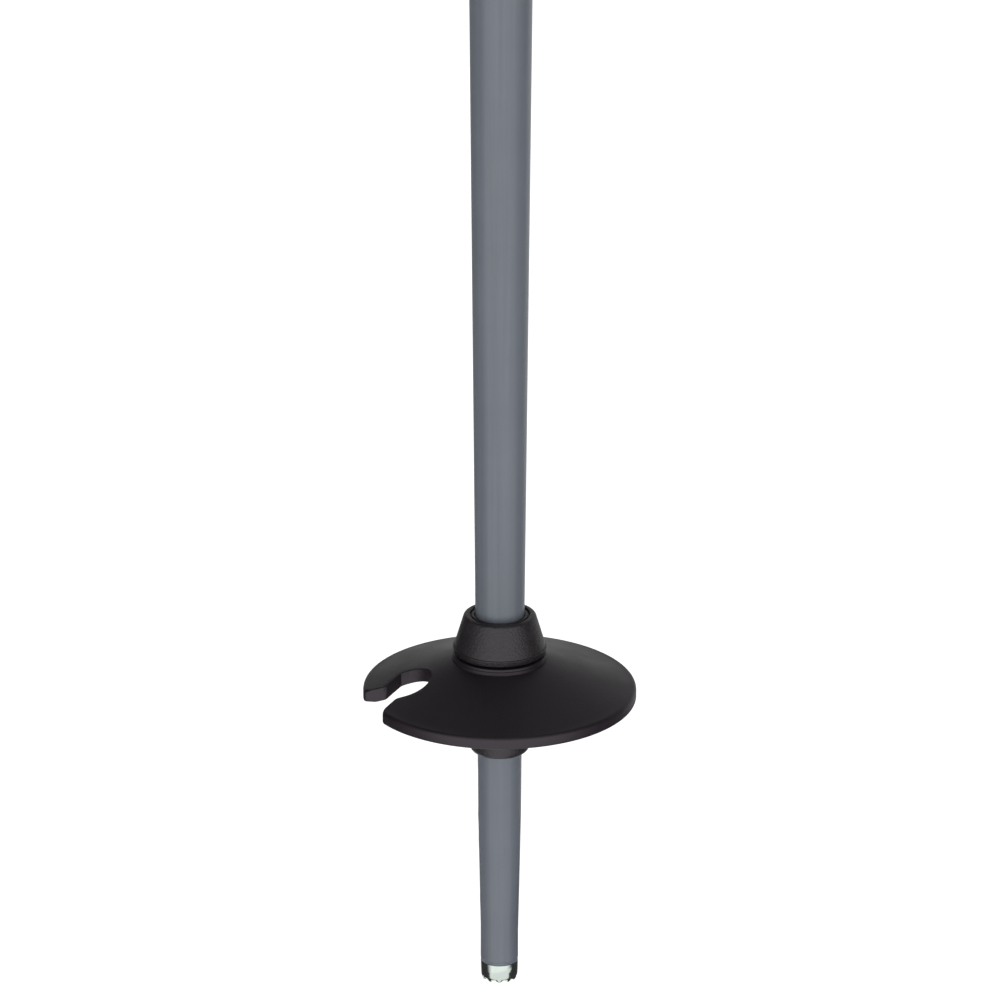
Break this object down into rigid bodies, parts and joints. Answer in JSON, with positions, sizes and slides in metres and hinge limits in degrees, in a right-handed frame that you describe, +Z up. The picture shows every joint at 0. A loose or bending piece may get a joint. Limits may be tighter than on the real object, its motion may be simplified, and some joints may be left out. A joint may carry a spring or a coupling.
{
  "type": "alpine ski pole",
  "caption": "Tapered aluminium ski pole with a toothed steel crown, a dished basket with a clip notch, a moulded grip and a wrist strap.",
  "frame": {"origin": "on the pole's axis at the level of the crown's tooth tips, where the pole meets the ground", "axes": "+Z up the shaft to the grip; +X towards the fingers' side of the grip, strap on the -X side; +Y across"},
  "size_m": [0.115, 0.07, 1.2],
  "materials": {
    "shaft_paint": "satin grey paint",
    "crown_steel": "bright plated steel",
    "hub_plastic": "grained black",
    "disc_rubber": "smooth black",
    "core_plastic": "black",
    "trim_plastic": "grey",
    "sleeve_rubber": "matte black",
    "head_plastic": "fine grain black",
    "bright_steel": "zinc plated",
    "webbing": "woven black",
    "pad_fabric": "knitted dark grey"
  },
  "bodies": {
    "pole": {"shaft_tube": "shaft_paint", "tip_crown": "crown_steel", "basket_hub": "hub_plastic", "grip_core": "core_plastic", "grip_collar": "trim_plastic", "grip_sleeve": "sleeve_rubber", "grip_head": "head_plastic", "head_cap": "trim_plastic", "head_screw": "bright_steel", "strap_pin": "bright_steel", "strap_anchor": "webbing"},
    "basket": {"basket_disc": "disc_rubber"},
    "wedge": {"strap_wedge": "trim_plastic"},
    "strap": {"strap_loop": "webbing", "strap_pad": "pad_fabric"},
    "slider": {"strap_slider": "head_plastic"}
  },
  "joints": [
    {"name": "basket_turn", "type": "hinge", "parent": "pole", "child": "basket", "pos_m": [0, 0, 0.086], "axis": [0, 0, 1], "continuous": true},
    {"name": "wedge_lift", "type": "slide", "parent": "pole", "child": "wedge", "axis": [0, 0, 1], "range_m": [0, 0.009]},
    {"name": "strap_swing", "type": "hinge", "parent": "pole", "child": "strap", "pos_m": [-0.02565, 0, 1.174], "axis": [0, 1, 0], "range_deg": [0, 150]},
    {"name": "slider_slide", "type": "slide", "parent": "strap", "child": "slider", "axis": [0, 0, -1], "range_m": [0, 0.022]}
  ]
}
